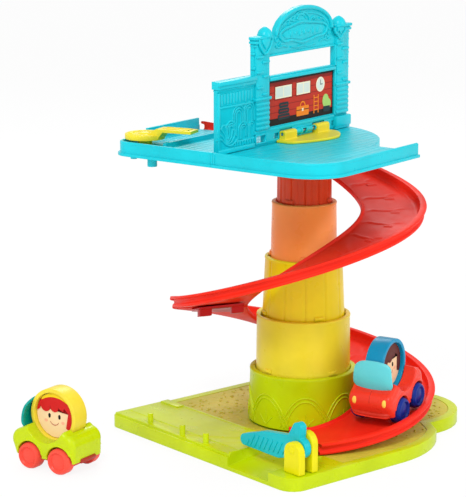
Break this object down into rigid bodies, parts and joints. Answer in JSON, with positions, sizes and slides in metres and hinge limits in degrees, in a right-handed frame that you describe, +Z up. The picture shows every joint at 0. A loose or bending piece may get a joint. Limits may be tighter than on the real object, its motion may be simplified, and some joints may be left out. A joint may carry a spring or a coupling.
{
  "type": "toy garage",
  "caption": "Pop-up toy garage with a telescoping tower, spiral car ramp, top deck with folding facade, exit gate and rolling cars with spinning drivers.",
  "frame": {"origin": "on the tower's axis at the surface that the base stands on", "axes": "+Z up, +X along the base's front edge towards the gate, +Y away from that edge"},
  "size_m": [0.2612, 0.4213, 0.4],
  "materials": {
    "teal": "satin moulded",
    "steel": "plain",
    "lime": "satin moulded",
    "lime_underside": "matt moulded",
    "golden": "satin moulded",
    "turquoise": "satin moulded",
    "yellow_green": "satin moulded",
    "tan": "pebbled",
    "dark_red": "satin moulded",
    "printed_disc": "printed",
    "coral": "satin moulded",
    "deep_teal": "glossy moulded",
    "red": "glossy moulded",
    "printed_card": "printed film",
    "navy": "satin moulded",
    "blue": "satin moulded",
    "pale_blue": "glossy moulded",
    "yellow": "satin moulded, grooved",
    "orange": "satin moulded",
    "vermilion": "satin moulded, grooved"
  },
  "bodies": {
    "base": {"base_screw_1": "steel", "base_screw_2": "steel", "base_screw_3": "steel", "base_screw_4": "steel", "base_tray": "lime", "bottom_cover": "lime_underside", "gate_pin": "steel", "gate_post_left": "yellow_green", "gate_post_right": "yellow_green", "ground_panel": "tan", "lower_ramp": "red", "ramp_clip": "dark_red", "tower_sleeve": "lime", "upper_ramp": "red"},
    "stage_1": {"stage_1": "golden"},
    "stage_2": {"stage_2": "yellow"},
    "stage_3": {"stage_3": "orange"},
    "deck": {"stage_4": "vermilion", "deck_main": "turquoise", "deck_wing": "turquoise", "hinge_bracket": "golden", "facade_pin": "steel", "lever_pin": "steel"},
    "gate": {"barrier_gate": "teal"},
    "facade": {"facade_wall": "turquoise", "picture_panel": "printed_card"},
    "lever": {"deck_lever": "golden"},
    "lime_car": {"lime_car_body": "lime", "lime_chassis": "dark_red", "lime_windshield": "deep_teal"},
    "lime_driver": {"lime_ring": "golden", "lime_driver_disc": "printed_disc"},
    "lime_front_wheels": {"lime_front_axle": "steel", "lime_front_left_wheel": "coral", "lime_front_right_wheel": "coral"},
    "lime_rear_wheels": {"lime_rear_axle": "steel", "lime_rear_left_wheel": "coral", "lime_rear_right_wheel": "coral"},
    "red_car": {"red_car_body": "red", "red_chassis": "navy", "red_windshield": "pale_blue"},
    "red_driver": {"red_ring": "blue", "red_driver_disc": "printed_disc"},
    "red_front_wheels": {"red_front_axle": "steel", "red_front_left_wheel": "navy", "red_front_right_wheel": "navy"},
    "red_rear_wheels": {"red_rear_axle": "steel", "red_rear_left_wheel": "navy", "red_rear_right_wheel": "navy"}
  },
  "joints": [
    {"name": "tower_slide_1", "type": "slide", "parent": "base", "child": "stage_1", "axis": [0, 0, 1], "range_m": [-0.027, 0], "deforming": ["upper_ramp", "lower_ramp", "ramp_clip"]},
    {"name": "tower_slide_2", "type": "slide", "parent": "stage_1", "child": "stage_2", "axis": [0, 0, 1], "range_m": [-0.027, 0]},
    {"name": "tower_slide_3", "type": "slide", "parent": "stage_2", "child": "stage_3", "axis": [0, 0, 1], "range_m": [-0.027, 0]},
    {"name": "tower_slide_4", "type": "slide", "parent": "stage_3", "child": "deck", "axis": [0, 0, 1], "range_m": [-0.027, 0]},
    {"name": "facade_fold", "type": "hinge", "parent": "deck", "child": "facade", "pos_m": [-0.00807, -0.00194, 0.2852], "axis": [-0.2334, 0.9724, 0], "range_deg": [0, 88]},
    {"name": "lever_swivel", "type": "hinge", "parent": "deck", "child": "lever", "pos_m": [-0.07397, -0.12883, 0.2838], "axis": [0, 0, 1], "range_deg": [-25, 60]},
    {"name": "gate_lift", "type": "hinge", "parent": "base", "child": "gate", "pos_m": [0.122, -0.1115, 0.034], "axis": [0, 1, 0], "range_deg": [0, 80]},
    {"name": "lime_car_lift", "type": "slide", "parent": "base", "child": "lime_car", "axis": [0, 0, 1], "range_m": [0, 0.08]},
    {"name": "lime_driver_spin", "type": "hinge", "parent": "lime_car", "child": "lime_driver", "pos_m": [-0.058, -0.241, 0.048], "axis": [0.284, -0.9588, 0], "continuous": true},
    {"name": "lime_front_roll", "type": "hinge", "parent": "lime_car", "child": "lime_front_wheels", "pos_m": [-0.07382, -0.24569, 0.012], "axis": [0.284, -0.9588, 0], "continuous": true},
    {"name": "lime_rear_roll", "type": "hinge", "parent": "lime_car", "child": "lime_rear_wheels", "pos_m": [-0.04218, -0.23631, 0.012], "axis": [0.284, -0.9588, 0], "continuous": true},
    {"name": "red_car_lift", "type": "slide", "parent": "base", "child": "red_car", "axis": [0, 0, 1], "range_m": [0, 0.05]},
    {"name": "red_driver_spin", "type": "hinge", "parent": "red_car", "child": "red_driver", "pos_m": [0.08484, 0.02542, 0.07671], "axis": [0.9397, 0.342, 0], "continuous": true},
    {"name": "red_front_roll", "type": "hinge", "parent": "red_car", "child": "red_front_wheels", "pos_m": [0.08808, 0.01652, 0.03826], "axis": [0.9397, 0.342, 0], "continuous": true},
    {"name": "red_rear_roll", "type": "hinge", "parent": "red_car", "child": "red_rear_wheels", "pos_m": [0.07699, 0.04698, 0.04444], "axis": [0.9397, 0.342, 0], "continuous": true}
  ],
  "couplings": [
    {"joint": "tower_slide_2", "follows": "tower_slide_1", "ratio": 1},
    {"joint": "tower_slide_3", "follows": "tower_slide_1", "ratio": 1},
    {"joint": "tower_slide_4", "follows": "tower_slide_1", "ratio": 1}
  ]
}
